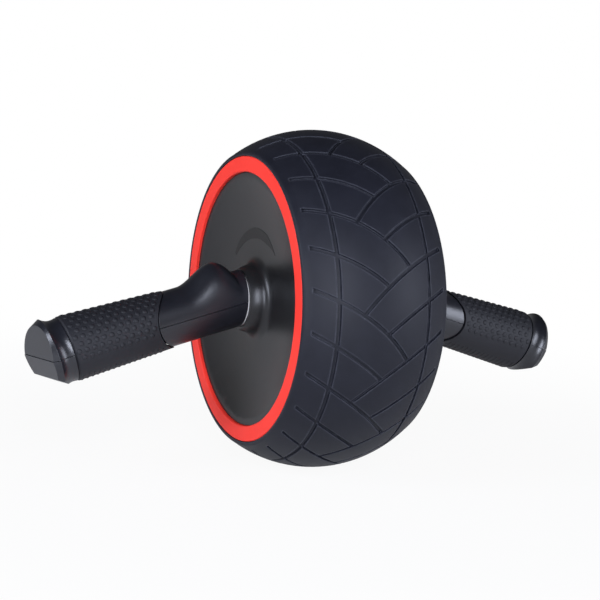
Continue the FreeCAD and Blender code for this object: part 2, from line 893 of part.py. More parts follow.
def make_seam_ledges():
    """Flat ledges on the lower half that close the seam from inside, at the neck and in the cap."""
    height = d.seam_gap + d.seam_ledge
    level = d.seam_gap / 2 - d.running_gap - height
    neck_length = d.neck_inset + tongue_tip - d.seam_ledge
    neck_half = neck_radius - d.seam_ledge
    cap_start = d.cap_place + d.seam_ledge
    cap_half = cap_neck_radius - 2 * d.seam_ledge
    return [
        box("neck_ledge", neck_length, 2 * neck_half, height, x=-d.neck_inset, y=-neck_half, z=level),
        box("cap_ledge", d.cap_ridge_place, 2 * cap_half, height, x=cap_start, y=-cap_half, z=level),
    ]


def screw_place(index):
    first = tongue_tip + d.handle_screw_inset
    last = d.cap_place - d.handle_screw_inset
    return first + index / (HANDLE_SCREWS - 1) * (last - first)


def add_bosses(name, half, form):
    """Screw bosses, which meet on the seam, and the holes in them."""
    boss_height = spine_radius - d.shell_wall / 2
    pieces = [form]
    holes = []
    for index in range(HANDLE_SCREWS):
        boss = "%s_boss_%d" % (name, index)
        place_x = screw_place(index)
        if half == "upper":
            level = d.seam_gap / 2
            pieces.append(cylinder(boss, d.handle_boss_radius, boss_height - level, x=place_x, z=level))
            depth = d.handle_screw_tip + d.screw_play
            holes.append(cylinder(boss + "_hole", d.handle_screw_radius + d.running_gap, depth, x=place_x))
        else:
            top = d.seam_gap / 2 - d.running_gap
            pieces.append(cylinder(boss, d.handle_boss_radius, boss_height + top, x=place_x, z=-boss_height))
            deep = spine_radius + d.cut_overrun
            holes.append(cylinder(boss + "_hole", d.handle_screw_radius + d.screw_play, deep + d.seam_gap,
                                  x=place_x, z=-deep))
            seat = deep - d.handle_screw_seat
            holes.append(cylinder(boss + "_seat", d.handle_screw_head_radius + d.screw_play, seat,
                                  x=place_x, z=-deep))
    return cut(name + "_bored", fused(name + "_bossed", *pieces), *holes)


def axle_space():
    """What the axle, its pin and the wheel side take out of a handle, in the handle's own frame."""
    bar = Part.makeCylinder(d.axle_radius.value + d.running_gap.value,
                            axle_half_length.value + d.fit_gap.value, Vector(), Vector(1, 0, 0))
    pin_half = cross_pin_half_length.value + d.fit_gap.value
    pin = Part.makeCylinder(d.cross_pin_radius.value + d.running_gap.value, 2 * pin_half,
                            Vector(cross_pin_place.value, 0, -pin_half), Vector(0, 0, 1))
    reach = d.tyre_radius.value
    neck_end = boss_mouth_place.value + 2 * d.fit_gap.value + d.washer_thickness.value
    wheel_side = Part.makeBox(neck_end, 2 * reach, 2 * reach, Vector(0, -reach, -reach))
    space = doc.addObject("Part::Feature", "axle_space")
    space.Shape = bar.fuse([pin, wheel_side])
    space.Placement = handle_frame().inverse()
    return space


def make_half_space(half):
    """The space on one side of the seam that a handle half keeps to."""
    reach = neck_radius + d.bump_height + d.cut_overrun
    start = -d.neck_inset - d.cut_overrun
    end = d.cap_place + d.cap_ridge_place + d.cap_bevel_run + d.cut_overrun
    level = d.seam_gap / 2 if half == "upper" else -d.seam_gap / 2 - reach
    return box("half_space_" + half, end - start, 2 * reach, reach, x=start, y=-reach, z=level)


def make_handles():
    """Both halves of both handles, made in the handle's own frame."""
    tongue = make_tongue("tongue", tongue_radius)
    space = axle_space()
    tip = tongue_tip + d.cut_overrun
    run = d.cap_place + d.cap_hollow - hollow_start
    spine = cylinder("spine", spine_radius, run, x=hollow_start, turn=ALONG_X)
    hollow = cylinder("hollow", spine_radius - d.shell_wall, run, x=hollow_start, turn=ALONG_X)
    for half in ("upper", "lower"):
        side_space = make_half_space(half)
        stem = [shared("spine_" + half, spine, side_space)]
        if half == "upper":
            neck = make_upper_neck(tip)
        else:
            bar = cylinder("neck_bar", neck_radius, d.neck_inset + tip, x=-d.neck_inset, turn=ALONG_X)
            neck = shared("neck_lower", bar, side_space)
            stem += make_seam_ledges()
        stem.append(shared("neck_bounded_" + half, neck, tongue))
        for side, turn in SIDES.items():
            name = "handle_%s_%s" % (half, side)
            cap = shared(name + "_end", make_cap(name + "_cap", half, FRONTS[side]), side_space)
            form = cut(name + "_hollow", fused(name + "_whole", *stem, cap), hollow)
            piece = cut(name, add_bosses(name, half, form), space)
            piece.Placement = turn.multiply(handle_frame())
            keep(name, piece)


def make_handle_screws(side, turn):
    screws = []
    head_place = -d.handle_screw_seat - d.handle_screw_head
    for index in range(HANDLE_SCREWS):
        name = "handle_screw_%s_%d" % (side, index)
        place_x = screw_place(index)
        head = cylinder(name + "_head", d.handle_screw_head_radius, d.handle_screw_head,
                        x=place_x, z=head_place)
        length = d.handle_screw_tip - head_place
        shank = cylinder(name + "_shank", d.handle_screw_radius, length, x=place_x, z=head_place)
        screws.append(fused(name, head, shank))
    group = doc.addObject("Part::Compound", "handle_screws_" + side)
    group.Links = screws
    group.Placement = turn.multiply(handle_frame())
    keep("handle_screws_" + side, group)


def make_grips():
    """Tapered rubber sleeves, cut to the neck's tongue and to the slope of the end cap."""
    length = d.cap_place + d.cut_overrun - d.tongue_place
    cone = doc.addObject("Part::Cone", "grip_cone")
    bind(cone, Radius1=grip_inner_end_radius, Radius2=grip_outer_end_radius, Height=length)
    place(cone, x=d.tongue_place, turn=ALONG_X)
    bore = cylinder("grip_bore", spine_radius + d.fit_gap, length + 2 * d.cut_overrun,
                    x=d.tongue_place - d.cut_overrun, turn=ALONG_X)
    clear = make_tongue("grip_tongue", tongue_radius + d.grip_groove)
    set_back = Placement(Vector(-d.grip_groove.value / 2, 0, 0), Rotation())
    end = end_block("grip_end", cap_frame().multiply(set_back))
    for side, turn in SIDES.items():
        name = "grip_" + side
        sleeve = cut(name, cone, bore, clear, end)
        sleeve.Placement = turn.multiply(handle_frame())
        keep(name, sleeve)


def write_parts():
    doc.recompute()
    for item in doc.Objects:
        if "Invalid" in item.State or "Error" in item.State:
            raise RuntimeError("%s did not build: %s" % (item.Name, item.State))
    for label, item in nodes.items():
        if item.Shape.isNull() or not item.Shape.isValid():
            raise RuntimeError("%s has no valid shape" % label)
    os.makedirs("parts", exist_ok=True)
    for label, item in nodes.items():
        item.Shape.exportStep("parts/%s.step" % label)
        print("%-22s %2d solid(s) %10.1f mm3" % (label, len(item.Shape.Solids), item.Shape.Volume))


make_tyre()
make_drum_screws()
make_axle_and_pins()
make_arbor()
make_spring()
for side, placement in SIDES.items():
    make_drum_half(side, placement)
    make_trim_ring(side, placement)
    make_side_cover(side, placement)
    make_bush_and_washer(side, placement)
    make_handle_screws(side, placement)
make_handles()
make_grips()
write_parts()
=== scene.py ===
import bmesh
import bpy
import json
import math
from mathutils import Matrix, Vector


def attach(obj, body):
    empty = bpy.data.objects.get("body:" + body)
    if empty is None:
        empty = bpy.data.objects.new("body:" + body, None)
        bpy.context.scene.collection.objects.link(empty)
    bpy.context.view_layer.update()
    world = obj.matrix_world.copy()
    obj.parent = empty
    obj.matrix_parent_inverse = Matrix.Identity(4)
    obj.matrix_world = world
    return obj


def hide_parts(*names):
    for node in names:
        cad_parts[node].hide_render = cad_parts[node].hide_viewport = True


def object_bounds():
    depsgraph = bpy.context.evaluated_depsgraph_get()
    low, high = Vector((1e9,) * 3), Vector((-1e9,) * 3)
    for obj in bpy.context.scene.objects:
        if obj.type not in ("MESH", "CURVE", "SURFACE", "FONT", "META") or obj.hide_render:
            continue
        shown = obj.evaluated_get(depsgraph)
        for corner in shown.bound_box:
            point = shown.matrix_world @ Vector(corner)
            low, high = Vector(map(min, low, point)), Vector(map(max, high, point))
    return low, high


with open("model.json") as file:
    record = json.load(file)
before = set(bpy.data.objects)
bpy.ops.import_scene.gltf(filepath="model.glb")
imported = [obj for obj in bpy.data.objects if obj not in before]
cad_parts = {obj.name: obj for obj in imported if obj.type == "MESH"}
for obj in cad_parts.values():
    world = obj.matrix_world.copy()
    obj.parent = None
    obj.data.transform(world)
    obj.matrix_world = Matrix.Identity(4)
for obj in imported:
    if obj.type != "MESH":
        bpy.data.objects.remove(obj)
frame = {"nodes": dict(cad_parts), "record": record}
cad_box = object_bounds()
scene = bpy.context.scene

MM = 0.001
SIDES = ("left", "right")

# Handle frame: start beside the hub, height over the axle and droop in degrees
HANDLE_START = 44.3 * MM
HANDLE_HEIGHT = 0.9 * MM
HANDLE_DROOP = 15.4

# Grip sleeve along the handle: the cone, the bow of the neck's tongue and the slanted end at the cap
GRIP_START = 40 * MM
GRIP_LENGTH = 73.1 * MM
GRIP_INNER_RADIUS = 16.4 * MM
GRIP_OUTER_RADIUS = 19.1 * MM
TONGUE_RADIUS = 17.8 * MM
CAP_PLACE = 107.7 * MM
CAP_SLOPE = math.tan(math.radians(3.8))

# Groove between a grip's outer edge and the end cap: its width and the radius of its floor
GROOVE_WIDTH = 1.0 * MM
GROOVE_FLOOR = 17.9 * MM

# Side cover: foot of the dish beside the boss, and the arc that it rises on
DISH_FLOOR = 35 * MM
DISH_FLOOR_RADIUS = 25 * MM
DISH_ROUND = 149.8 * MM

# Flat inner end of the return spring: its span across the axle, its depth, and the cut outside the arbor
SPRING_END_START = 9 * MM
SPRING_END_STOP = 15.5 * MM
SPRING_END_DEPTH = 0.9 * MM
SPRING_CUT = 14.3 * MM

# Surfaces: seams closer than the weld are closed, edges that turn more than the crease stay sharp
WELD = 0.002 * MM
CUT_TOLERANCE = WELD / 4
CREASE = math.radians(32)


def handle_matrix(side):
    """Frame of one handle: X along its drooping axis away from the hub, Z up across it."""
    droop = Matrix.Rotation(math.radians(HANDLE_DROOP), 4, "Y")
    right = Matrix.Translation((HANDLE_START, 0, HANDLE_HEIGHT)) @ droop
    return right if side == "right" else Matrix.Rotation(math.pi, 4, "Z") @ right


class Tree:
    """Small helper that adds nodes to a node tree and links them."""

    def __init__(self, tree):
        self.tree = tree

    def add(self, kind, **settings):
        node = self.tree.nodes.new(kind)
        for name, value in settings.items():
            setattr(node, name, value)
        return node

    def feed(self, socket, value):
        if isinstance(value, bpy.types.NodeSocket):
            self.tree.links.new(value, socket)
        else:
            socket.default_value = value

    def math(self, operation, first, second=0.0, clamp=False):
        node = self.add("ShaderNodeMath", operation=operation, use_clamp=clamp)
        self.feed(node.inputs[0], first)
        self.feed(node.inputs[1], second)
        return node.outputs[0]

    def combine(self, x=0.0, y=0.0, z=0.0):
        node = self.add("ShaderNodeCombineXYZ")
        for socket, value in zip(node.inputs, (x, y, z)):
            self.feed(socket, value)
        return node.outputs[0]

    def noise(self, vector, scale, detail=3.0, rough=0.5):
        node = self.add("ShaderNodeTexNoise")
        self.feed(node.inputs["Vector"], vector)
        self.feed(node.inputs["Scale"], scale)
        node.inputs["Detail"].default_value = detail
        node.inputs["Roughness"].default_value = rough
        return node.outputs["Fac"]

    def spread(self, value, low, high):
        node = self.add("ShaderNodeMapRange")
        self.feed(node.inputs["Value"], value)
        self.feed(node.inputs["To Min"], low)
        self.feed(node.inputs["To Max"], high)
        return node.outputs["Result"]

    def fade(self, value, limits):
        node = self.add("ShaderNodeMapRange", interpolation_type="SMOOTHSTEP")
        self.feed(node.inputs["Value"], value)
        for label, limit in limits.items():
            node.inputs[label].default_value = limit
        return node.outputs["Result"]

    def blend(self, factor, first, second):
        node = self.add("ShaderNodeMix", data_type="RGBA")
        self.feed(node.inputs["Factor"], factor)
        self.feed(node.inputs["A"], first)
        self.feed(node.inputs["B"], second)
        return node.outputs["Result"]


# Shader groups that several finishes share

# Moulded skin: the drift's scale and share in the colour, the contrast, and the mottle's share in the gloss
DRIFT_SCALE = 14.0
DRIFT_SHARE = 0.5
TONE_LOW = -0.6
TONE_HIGH = 1.6
GLOSS_MOTTLE_SHARE = 0.6

# Edges lightened by rubbing and by painted highlights: gain on the turn of the surface, scale and contrast
# of the patches
EDGE_GAIN = 6.0
PATCH_SCALE = 220.0
PATCH_LOW = -0.2
PATCH_HIGH = 1.2
BEVEL_SAMPLES = 6


def new_group(name, inputs, outputs):
    """Shader node group with these named inputs and outputs."""
    group = bpy.data.node_groups.new(name, "ShaderNodeTree")
    for label, value in inputs.items():
        kind = "NodeSocketColor" if isinstance(value, tuple) else "NodeSocketFloat"
        socket = group.interface.new_socket(label, in_out="INPUT", socket_type=kind)
        socket.default_value = value
    for label, kind in outputs.items():
        group.interface.new_socket(label, in_out="OUTPUT", socket_type=kind)
    tree = Tree(group)
    return group, tree, tree.add("NodeGroupInput"), tree.add("NodeGroupOutput")


def make_moulded_skin():
    """Colour, gloss and fine relief of a moulded surface: broad drift, small mottle and a close grain."""
    inputs = {
        "Dark": (0.02, 0.02, 0.02, 1),
        "Light": (0.03, 0.03, 0.03, 1),
        "Mottle Scale": 60.0,
        "Grain Scale": 1400.0,
        "Gloss Low": 0.35,
        "Gloss High": 0.5,
    }
    outputs = {"Color": "NodeSocketColor", "Roughness": "NodeSocketFloat", "Height": "NodeSocketFloat"}
    group, tree, start, end = new_group("moulded skin", inputs, outputs)
    place = tree.add("ShaderNodeTexCoord").outputs["Object"]
    drift = tree.noise(place, DRIFT_SCALE, detail=2.0)
    mottle = tree.noise(place, start.outputs["Mottle Scale"], detail=4.0, rough=0.6)
    grain = tree.noise(place, start.outputs["Grain Scale"], detail=2.0, rough=0.55)
    broad = tree.math("MULTIPLY", drift, DRIFT_SHARE)
    tone = tree.math("ADD", broad, tree.math("MULTIPLY", mottle, 1 - DRIFT_SHARE))
    tone = tree.spread(tone, TONE_LOW, TONE_HIGH)
    tone = tree.math("MAXIMUM", tree.math("MINIMUM", tone, 1.0), 0.0)
    tree.feed(end.inputs["Color"], tree.blend(tone, start.outputs["Dark"], start.outputs["Light"]))
    patches = tree.math("MULTIPLY", mottle, GLOSS_MOTTLE_SHARE)
    gloss = tree.math("ADD", patches, tree.math("MULTIPLY", grain, 1 - GLOSS_MOTTLE_SHARE))
    gloss = tree.spread(gloss, start.outputs["Gloss Low"], start.outputs["Gloss High"])
    tree.feed(end.inputs["Roughness"], gloss)
    tree.feed(end.inputs["Height"], grain)
    return group


def make_edge_sheen_and_wear():
    """Mask of the outer edges, broken into patches: rubbing, and painted highlights along edges."""
    inputs = {"Width": 0.6 * MM, "Amount": 0.5}
    group, tree, start, end = new_group("edge wear", inputs, {"Mask": "NodeSocketFloat"})
    rounded = tree.add("ShaderNodeBevel", samples=BEVEL_SAMPLES)
    tree.feed(rounded.inputs["Radius"], start.outputs["Width"])
    flat = tree.add("ShaderNodeNewGeometry")
    turn = tree.add("ShaderNodeVectorMath", operation="DOT_PRODUCT")
    tree.feed(turn.inputs[0], rounded.outputs["Normal"])
    tree.feed(turn.inputs[1], flat.outputs["Normal"])
    edge = tree.math("MULTIPLY", tree.math("SUBTRACT", 1.0, turn.outputs["Value"]), EDGE_GAIN, clamp=True)
    place = tree.add("ShaderNodeTexCoord").outputs["Object"]
    patchy = tree.spread(tree.noise(place, PATCH_SCALE, detail=4.0, rough=0.7), PATCH_LOW, PATCH_HIGH)
    lit_and_rubbed = tree.math("MULTIPLY", edge, patchy, clamp=True)
    tree.feed(end.inputs["Mask"], tree.math("MULTIPLY", lit_and_rubbed, start.outputs["Amount"]))
    return group


MOULDED_SKIN = make_moulded_skin()
EDGE_SHEEN_AND_WEAR = make_edge_sheen_and_wear()

# Finishes: height of the grain, reach of the edge mask in softened edges, and how much lighter the edges
# are painted, by rubbing and as painted highlight
GRAIN_HEIGHT = 0.4 * MM
SHEEN_AND_WEAR_REACH = 2
SHEEN_AND_WEAR_GAIN = 1.8

# Steel: gloss, and the stretch, strength and height of its fine lines
STEEL_GLOSS_LOW = 0.2
STEEL_GLOSS_HIGH = 0.42
STEEL_LINE_STRETCH = 8
STEEL_LINE_RELIEF = 0.08
STEEL_LINE_HEIGHT = 0.2 * MM


def new_finish(name):
    """A new material, its tree and its main shader."""
    material = bpy.data.materials.new(name)
    material.use_nodes = True
    return material, Tree(material.node_tree), material.node_tree.nodes["Principled BSDF"]


def moulded_finish(name, dark, light, gloss, mottle=60.0, grain=1400.0, relief=0.04, soften=0.3 * MM,
                   sheen_and_wear=0.3, sheen_and_wear_colour=None, specular=0.5):
    """Moulded rubber or plastic: mottled colour, uneven gloss, close grain, softened edges lightened by
    rubbing and by painted highlight.
    """
    material, tree, shader = new_finish(name)
    skin = tree.add("ShaderNodeGroup", node_tree=MOULDED_SKIN)
    values = {
        "Dark": (*dark, 1),
        "Light": (*light, 1),
        "Mottle Scale": mottle,
        "Grain Scale": grain,
        "Gloss Low": gloss[0],
        "Gloss High": gloss[1],
    }
    for label, value in values.items():
        skin.inputs[label].default_value = value
    edges = tree.add("ShaderNodeGroup", node_tree=EDGE_SHEEN_AND_WEAR)
    edges.inputs["Width"].default_value = soften * SHEEN_AND_WEAR_REACH
    edges.inputs["Amount"].default_value = sheen_and_wear
    # Lighter edge colour: rubbing on some finishes, painted highlight lines along the tyre's groove edges
    lit_and_rubbed = sheen_and_wear_colour or tuple(channel * SHEEN_AND_WEAR_GAIN for channel in light)
    colour = tree.blend(edges.outputs["Mask"], skin.outputs["Color"], (*lit_and_rubbed, 1))
    tree.feed(shader.inputs["Base Color"], colour)
    tree.feed(shader.inputs["Roughness"], skin.outputs["Roughness"])
    round_edges = tree.add("ShaderNodeBevel", samples=BEVEL_SAMPLES)
    round_edges.inputs["Radius"].default_value = soften
    bump = tree.add("ShaderNodeBump")
    bump.inputs["Strength"].default_value = relief
    bump.inputs["Distance"].default_value = GRAIN_HEIGHT
    tree.feed(bump.inputs["Height"], skin.outputs["Height"])
    tree.feed(bump.inputs["Normal"], round_edges.outputs["Normal"])
    tree.feed(shader.inputs["Normal"], bump.outputs["Normal"])
    shader.inputs["Specular IOR Level"].default_value = specular
    return material


def turned_steel(name, dark, light, rings=900.0):
    """Bright drawn or turned steel: fine lines round the piece and a mottled gloss."""
    material, tree, shader = new_finish(name)
    skin = tree.add("ShaderNodeGroup", node_tree=MOULDED_SKIN)
    skin.inputs["Dark"].default_value = (*dark, 1)
    skin.inputs["Light"].default_value = (*light, 1)
    skin.inputs["Gloss Low"].default_value = STEEL_GLOSS_LOW
    skin.inputs["Gloss High"].default_value = STEEL_GLOSS_HIGH
    tree.feed(shader.inputs["Base Color"], skin.outputs["Color"])
    tree.feed(shader.inputs["Roughness"], skin.outputs["Roughness"])
    place = tree.add("ShaderNodeTexCoord").outputs["Object"]
    stretch = tree.add("ShaderNodeMapping")
    stretch.inputs["Scale"].default_value = (rings, STEEL_LINE_STRETCH, STEEL_LINE_STRETCH)
    tree.feed(stretch.inputs["Vector"], place)
    bump = tree.add("ShaderNodeBump")
    bump.inputs["Strength"].default_value = STEEL_LINE_RELIEF
    bump.inputs["Distance"].default_value = STEEL_LINE_HEIGHT
    tree.feed(bump.inputs["Height"], tree.noise(stretch.outputs["Vector"], 1.0, detail=2.0))
    tree.feed(shader.inputs["Normal"], bump.outputs["Normal"])
    shader.inputs["Metallic"].default_value = 1.0
    return material


FINISHES = {
    "tyre_rubber": moulded_finish(
        "tyre_rubber",
        dark=(0.0075, 0.008, 0.0125),
        light=(0.0130, 0.0138, 0.0205),
        gloss=(0.44, 0.60),
        mottle=90,
        grain=1100,
        relief=0.10,
        soften=0.8 * MM,
        # Painted highlight: the edge mask paints light bluish lines along the groove edges in the lighter
        # colour below
        sheen_and_wear=0.8,
        sheen_and_wear_colour=(0.080, 0.084, 0.105),
        specular=0.24,
    ),
    "ring_red": moulded_finish(
        "ring_red",
        dark=(0.90, 0.040, 0.026),
        light=(1.0, 0.054, 0.036),
        gloss=(0.42, 0.54),
        mottle=40,
        grain=900,
        relief=0.02,
        sheen_and_wear=0.15,
        sheen_and_wear_colour=(1.0, 0.12, 0.08),
        specular=0.15,
    ),
    "cover_plastic": moulded_finish(
        "cover_plastic",
        dark=(0.008, 0.0078, 0.0082),
        light=(0.0125, 0.0122, 0.0128),
        gloss=(0.28, 0.38),
        mottle=70,
        grain=1600,
        relief=0.05,
        specular=0.4,
    ),
    "cover_mark": moulded_finish(
        "cover_mark",
        dark=(0.003, 0.003, 0.003),
        light=(0.005, 0.005, 0.005),
        gloss=(0.44, 0.56),
        mottle=90,
        grain=900,
        relief=0.10,
    ),
    "core_plastic": moulded_finish(
        "core_plastic",
        dark=(0.022, 0.022, 0.023),
        light=(0.034, 0.034, 0.035),
        gloss=(0.45, 0.6),
        grain=1200,
        relief=0.06,
    ),
    "handle_plastic": moulded_finish(
        "handle_plastic",
        dark=(0.0070, 0.0074, 0.0105),
        light=(0.0115, 0.0122, 0.0165),
        gloss=(0.25, 0.35),
        mottle=80,
        grain=1700,
        relief=0.05,
        specular=0.7,
    ),
    "grip_rubber": moulded_finish(
        "grip_rubber",
        dark=(0.0080, 0.0082, 0.0110),
        light=(0.0130, 0.0133, 0.0170),
        gloss=(0.52, 0.68),
        mottle=120,
        grain=1300,
        relief=0.10,
        specular=0.4,
    ),
    "bush_nylon": moulded_finish(
        "bush_nylon",
        dark=(0.62, 0.61, 0.58),
        light=(0.74, 0.73, 0.70),
        gloss=(0.35, 0.5),
        grain=900,
        relief=0.03,
        sheen_and_wear=0.0,
    ),
    "axle_steel": turned_steel("axle_steel", dark=(0.42, 0.42, 0.43), light=(0.60, 0.60, 0.61)),
    "spring_steel": turned_steel(
        "spring_steel",
        dark=(0.16, 0.17, 0.20),
        light=(0.30, 0.32, 0.36),
        rings=30.0,
    ),
    "screw_steel": turned_steel("screw_steel", dark=(0.34, 0.34, 0.35), light=(0.52, 0.52, 0.53)),
}


def dress_nodes():
    """Gives every solid the finish of its slot."""
    for part in frame["record"]["subparts"]:
        mesh = frame["nodes"][part["node"]].data
        mesh.materials.clear()
        mesh.materials.append(FINISHES[part["material_slot"]])


# Pieces made from the solids' own surfaces


def add_piece(name, mesh, body, stands_for=()):
    """A piece that moves with a body, and takes the place of solids where it stands for them."""
    piece = bpy.data.objects.new(name, mesh)
    scene.collection.objects.link(piece)
    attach(piece, body)
    if stands_for:
        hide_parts(*stands_for)


def welded(node):
    """A solid's surface with its seams closed, ready to be cut or shaded."""
    shape = bmesh.new()
    shape.from_mesh(frame["nodes"][node].data)
    bmesh.ops.remove_doubles(shape, verts=shape.verts, dist=WELD)
    bmesh.ops.dissolve_degenerate(shape, edges=shape.edges, dist=WELD)
    return shape


def add_shaded(name, shape, body, slot, stands_for=()):
    """A piece shaded smooth across the edges that turn less than the crease angle."""
    shape.verts.index_update()
    coordinates = [tuple(vertex.co) for vertex in shape.verts]
    faces = [[vertex.index for vertex in face.verts] for face in shape.faces]
    shape.free()
    mesh = bpy.data.meshes.new(name)
    mesh.from_pydata(coordinates, [], faces)
    mesh.materials.append(FINISHES[slot])
    mesh.shade_smooth()
    mesh.set_sharp_from_angle(angle=CREASE)
    add_piece(name, mesh, body, stands_for)


def add_shells(body, shells):
    """Smooth copies of whole solids."""
    for node, slot in shells.items():
        add_shaded(node + "_skin", welded(node), body, slot, (node,))


def cut_faces(shape, faces, place, normal):
    """Cuts these faces along a plane, and keeps both sides."""
    edges = dict.fromkeys(edge for face in faces for edge in face.edges)
    verts = dict.fromkeys(vert for face in faces for vert in face.verts)
    geometry = [*verts, *edges, *faces]
    bmesh.ops.bisect_plane(shape, geom=geometry, dist=CUT_TOLERANCE, plane_co=place, plane_no=normal)


def add_grips():
    """Both grip sleeves, with the outer edge turned down to a groove before the end cap."""
    start = CAP_PLACE - GROOVE_WIDTH
    for side in SIDES:
        node = "grip_" + side
        shape = welded(node)
        handle = handle_matrix(side)
        shape.transform(handle.inverted())
        cut_faces(shape, list(shape.faces), (start, 0, 0), (1, 0, -CAP_SLOPE))
        for vert in shape.verts:
            radius = math.hypot(vert.co.y, vert.co.z)
            if vert.co.x - CAP_SLOPE * vert.co.z > start + WELD and radius > GROOVE_FLOOR:
                vert.co.y *= GROOVE_FLOOR / radius
                vert.co.z *= GROOVE_FLOOR / radius
        shape.transform(handle)
        add_shaded(node + "_skin", shape, "handlebar", "grip_rubber", (node,))


def in_spring_end(place):
    """True on the flat inner end of the spring, between the arbor's slot and the first turn."""
    return -SPRING_END_DEPTH < place.z < WELD and SPRING_END_START < place.y < SPRING_END_STOP


def add_spring():
    """The return spring in two pieces: its hook stays in the arbor, its turns go round with the wheel."""
    for name, body in (("power_spring_hook", "handlebar"), ("power_spring_turns", "wheel")):
        shape = welded("power_spring")
        cut_faces(shape, list(shape.faces), (0, 0, 0), (0, 0, 1))
        end = [face for face in shape.faces if in_spring_end(face.calc_center_median())]
        cut_faces(shape, end, (0, SPRING_CUT, 0), (0, 1, 0))
        other = []
        for face in shape.faces:
            centre = face.calc_center_median()
            in_hook = in_spring_end(centre) and centre.y < SPRING_CUT
            if in_hook != (body == "handlebar"):
                other.append(face)
        bmesh.ops.delete(shape, geom=other, context="FACES")
        open_edges = [edge for edge in shape.edges if edge.is_boundary]
        bmesh.ops.holes_fill(shape, edges=open_edges, sides=0)
        bmesh.ops.recalc_face_normals(shape, faces=shape.faces)
        add_shaded(name, shape, body, "spring_steel", ("power_spring",) if body == "wheel" else ())


# Grip sleeves: round dots over the top and sides, ribs on the underside

DOT_SEGMENTS = 10
DOT_RINGS = 6
RIB_STEPS = 14
RIB_SIDES = 6

SLEEVE_INPUTS = {
    "Start": GRIP_START,
    "Length": GRIP_LENGTH,
    "Inner Radius": GRIP_INNER_RADIUS,
    "Outer Radius": GRIP_OUTER_RADIUS,
    "Tongue Radius": TONGUE_RADIUS,
    "End Place": CAP_PLACE,
    "End Slope": CAP_SLOPE,
    "Finish": FINISHES["grip_rubber"],
}
DOT_INPUTS = {
    **SLEEVE_INPUTS,
    "Columns": 18,
    "Rows": 17,
    "Pitch": 4.5 * MM,
    "Spread": math.radians(98),
    "Margin": 2.2 * MM,
    "Dot Radius": 1.5 * MM,
    "Dot Rise": 0.28,
}
RIB_INPUTS = {
    **SLEEVE_INPUTS,
    "Ribs": 24,
    "Pitch": 3.2 * MM,
    "Sweep": math.radians(84),
    "Margin": 1.8 * MM,
    "Rib Radius": 0.75 * MM,
    "Sink": 0.45 * MM,
}


def geometry_tree(name, inputs):
    """Geometry node tree with these named inputs."""
    tree = bpy.data.node_groups.new(name, "GeometryNodeTree")
    tree.interface.new_socket("Geometry", in_out="INPUT", socket_type="NodeSocketGeometry")
    for label, value in inputs.items():
        if isinstance(value, bpy.types.Material):
            kind = "NodeSocketMaterial"
        elif isinstance(value, int):
            kind = "NodeSocketInt"
        else:
            kind = "NodeSocketFloat"
        socket = tree.interface.new_socket(label, in_out="INPUT", socket_type=kind)
        if kind != "NodeSocketMaterial":
            socket.default_value = value
    tree.interface.new_socket("Geometry", in_out="OUTPUT", socket_type="NodeSocketGeometry")
    helper = Tree(tree)
    return tree, helper, helper.add("NodeGroupInput"), helper.add("NodeGroupOutput")


def finish_tree(nodes, geometry, finish, end):
    """Ends a geometry tree: real, smooth and painted."""
    real = nodes.add("GeometryNodeRealizeInstances")
    nodes.feed(real.inputs[0], geometry)
    smooth = nodes.add("GeometryNodeSetShadeSmooth")
    nodes.feed(smooth.inputs["Geometry"], real.outputs[0])
    paint = nodes.add("GeometryNodeSetMaterial")
    nodes.feed(paint.inputs["Geometry"], smooth.outputs[0])
    nodes.feed(paint.inputs["Material"], finish)
    nodes.feed(end.inputs[0], paint.outputs[0])


def grown(name, tree, inputs):
    """Mesh that a geometry tree makes from its named inputs."""
    holder = bpy.data.objects.new(name, bpy.data.meshes.new(name))
    scene.collection.objects.link(holder)
    modifier = holder.modifiers.new("grow", "NODES")
    modifier.node_group = tree
    for item in tree.interface.items_tree:
        if item.item_type == "SOCKET" and item.in_out == "INPUT" and item.name in inputs:
            modifier[item.identifier] = inputs[item.name]
    depsgraph = bpy.context.evaluated_depsgraph_get()
    mesh = bpy.data.meshes.new_from_object(holder.evaluated_get(depsgraph))
    mesh.name = name
    holder.modifiers.remove(modifier)
    bpy.data.objects.remove(holder)
    return mesh


def cone_radius(nodes, along, value):
    """Radius of the sleeve at a place along the handle."""
    share = nodes.math("DIVIDE", nodes.math("SUBTRACT", along, value["Start"]), value["Length"])
    growth = nodes.math("SUBTRACT", value["Outer Radius"], value["Inner Radius"])
    return nodes.math("ADD", value["Inner Radius"], nodes.math("MULTIPLY", share, growth))


def sleeve_room(nodes, along, height, value):
    """True where a place on the sleeve is clear of the neck's tongue and of the end cap."""
    reach = nodes.math("MULTIPLY", value["Tongue Radius"], value["Tongue Radius"])
    inside = nodes.math("SUBTRACT", reach, nodes.math("MULTIPLY", height, height))
    inside = nodes.math("MAXIMUM", inside, 0.0)
    bow = nodes.math("ADD", value["Start"], nodes.math("SQRT", inside))
    slant = nodes.math("MULTIPLY", height, value["End Slope"])
    end = nodes.math("ADD", value["End Place"], slant)
    past_bow = nodes.math("GREATER_THAN", along, nodes.math("ADD", bow, value["Margin"]))
    before_end = nodes.math("LESS_THAN", along, nodes.math("SUBTRACT", end, value["Margin"]))
    return nodes.math("MULTIPLY", past_bow, before_end)


